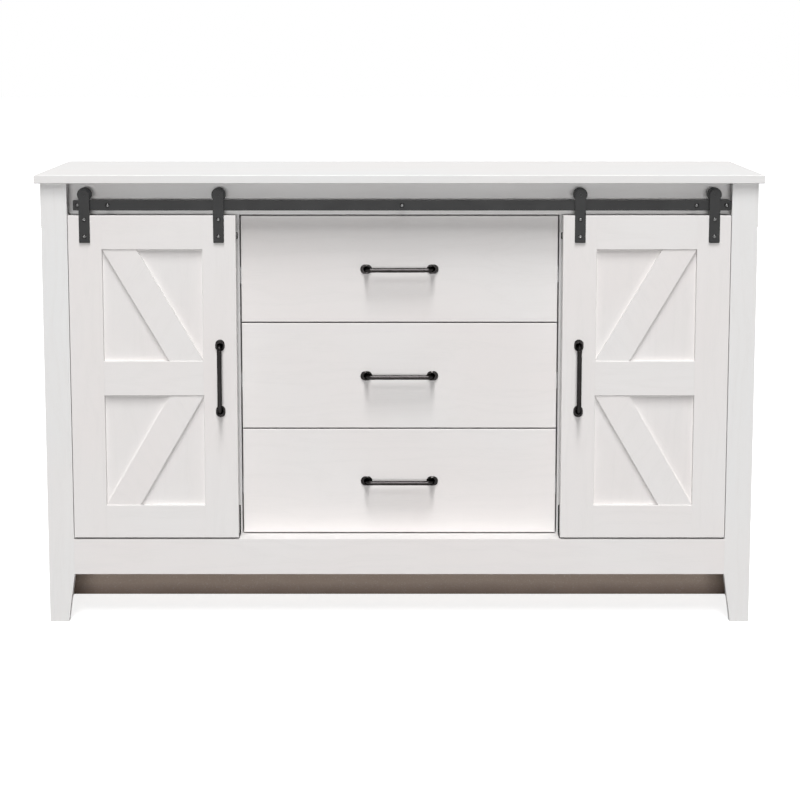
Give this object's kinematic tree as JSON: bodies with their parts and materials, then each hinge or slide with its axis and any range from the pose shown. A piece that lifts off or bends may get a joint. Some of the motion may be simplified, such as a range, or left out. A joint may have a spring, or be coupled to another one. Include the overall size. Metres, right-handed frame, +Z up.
{
  "type": "sideboard buffet cabinet",
  "caption": "Farmhouse sideboard with inset drawers in the middle and a braced barn door at each end that rolls on a top rail.",
  "frame": {"origin": "centre of the footprint's bounding box on the floor", "axes": "+X right along the width as seen from the front, +Y from the front to the back, +Z up"},
  "size_m": [1.4, 0.4144, 0.884],
  "materials": {
    "white_paint": "white-washed board, satin, faint grain",
    "raw_board": "unpainted fibreboard",
    "black_steel": "matte black powder coat",
    "handle_metal": "satin black bronze",
    "zinc_steel": "zinc plated",
    "nylon": "natural nylon",
    "black_rubber": "matte"
  },
  "bodies": {
    "carcass": {"top_panel": "white_paint", "left_side_panel": "white_paint", "right_side_panel": "white_paint", "left_front_leg": "white_paint", "right_front_leg": "white_paint", "front_apron": "white_paint", "bottom_panel": "white_paint", "support_board": "raw_board", "left_partition": "white_paint", "right_partition": "white_paint", "header_board": "white_paint", "back_panels": "raw_board", "shelves": "white_paint", "shelf_pins": "zinc_steel", "barn_rail": "black_steel", "rail_bolts": "black_steel", "rail_spacers": "black_steel", "door_guides": "black_steel", "guide_screws": "black_steel", "door_buffers": "black_rubber", "runner_channels": "zinc_steel"},
    "left_door": {"left_door_panel": "white_paint", "left_door_stiles": "white_paint", "left_door_rails": "white_paint", "left_door_braces": "white_paint", "left_door_handle": "handle_metal", "left_door_straps": "black_steel", "left_door_fasteners": "black_steel", "left_door_axles": "black_steel"},
    "right_door": {"right_door_panel": "white_paint", "right_door_stiles": "white_paint", "right_door_rails": "white_paint", "right_door_braces": "white_paint", "right_door_handle": "handle_metal", "right_door_straps": "black_steel", "right_door_fasteners": "black_steel", "right_door_axles": "black_steel"},
    "left_outer_wheel": {"left_outer_wheel": "black_steel"},
    "left_inner_wheel": {"left_inner_wheel": "black_steel"},
    "right_outer_wheel": {"right_outer_wheel": "black_steel"},
    "right_inner_wheel": {"right_inner_wheel": "black_steel"},
    "drawer_1": {"drawer_1_front": "white_paint", "drawer_1_walls": "white_paint", "drawer_1_bottom": "white_paint", "drawer_1_handle": "handle_metal", "drawer_1_screws": "zinc_steel", "drawer_1_runner_bars": "nylon"},
    "drawer_2": {"drawer_2_front": "white_paint", "drawer_2_walls": "white_paint", "drawer_2_bottom": "white_paint", "drawer_2_handle": "handle_metal", "drawer_2_screws": "zinc_steel", "drawer_2_runner_bars": "nylon"},
    "drawer_3": {"drawer_3_front": "white_paint", "drawer_3_walls": "white_paint", "drawer_3_bottom": "white_paint", "drawer_3_handle": "handle_metal", "drawer_3_screws": "zinc_steel", "drawer_3_runner_bars": "nylon"}
  },
  "joints": [
    {"name": "left_door_slide", "type": "slide", "parent": "carcass", "child": "left_door", "axis": [-1, 0, 0], "range_m": [-0.315, 0]},
    {"name": "right_door_slide", "type": "slide", "parent": "carcass", "child": "right_door", "axis": [1, 0, 0], "range_m": [-0.315, 0]},
    {"name": "left_outer_wheel_spin", "type": "hinge", "parent": "left_door", "child": "left_outer_wheel", "pos_m": [-0.606, -0.17533, 0.8458], "axis": [0, 1, 0], "continuous": true},
    {"name": "left_inner_wheel_spin", "type": "hinge", "parent": "left_door", "child": "left_inner_wheel", "pos_m": [-0.348, -0.17533, 0.8458], "axis": [0, 1, 0], "continuous": true},
    {"name": "right_outer_wheel_spin", "type": "hinge", "parent": "right_door", "child": "right_outer_wheel", "pos_m": [0.606, -0.17533, 0.8458], "axis": [0, 1, 0], "continuous": true},
    {"name": "right_inner_wheel_spin", "type": "hinge", "parent": "right_door", "child": "right_inner_wheel", "pos_m": [0.348, -0.17533, 0.8458], "axis": [0, 1, 0], "continuous": true},
    {"name": "drawer_1_slide", "type": "slide", "parent": "carcass", "child": "drawer_1", "axis": [0, -1, 0], "range_m": [0, 0.225]},
    {"name": "drawer_2_slide", "type": "slide", "parent": "carcass", "child": "drawer_2", "axis": [0, -1, 0], "range_m": [0, 0.225]},
    {"name": "drawer_3_slide", "type": "slide", "parent": "carcass", "child": "drawer_3", "axis": [0, -1, 0], "range_m": [0, 0.225]}
  ],
  "couplings": [
    {"joint": "left_outer_wheel_spin", "follows": "left_door_slide", "rad_per_m": -95.238},
    {"joint": "left_inner_wheel_spin", "follows": "left_door_slide", "rad_per_m": -95.238},
    {"joint": "right_outer_wheel_spin", "follows": "right_door_slide", "rad_per_m": 95.238},
    {"joint": "right_inner_wheel_spin", "follows": "right_door_slide", "rad_per_m": 95.238}
  ]
}
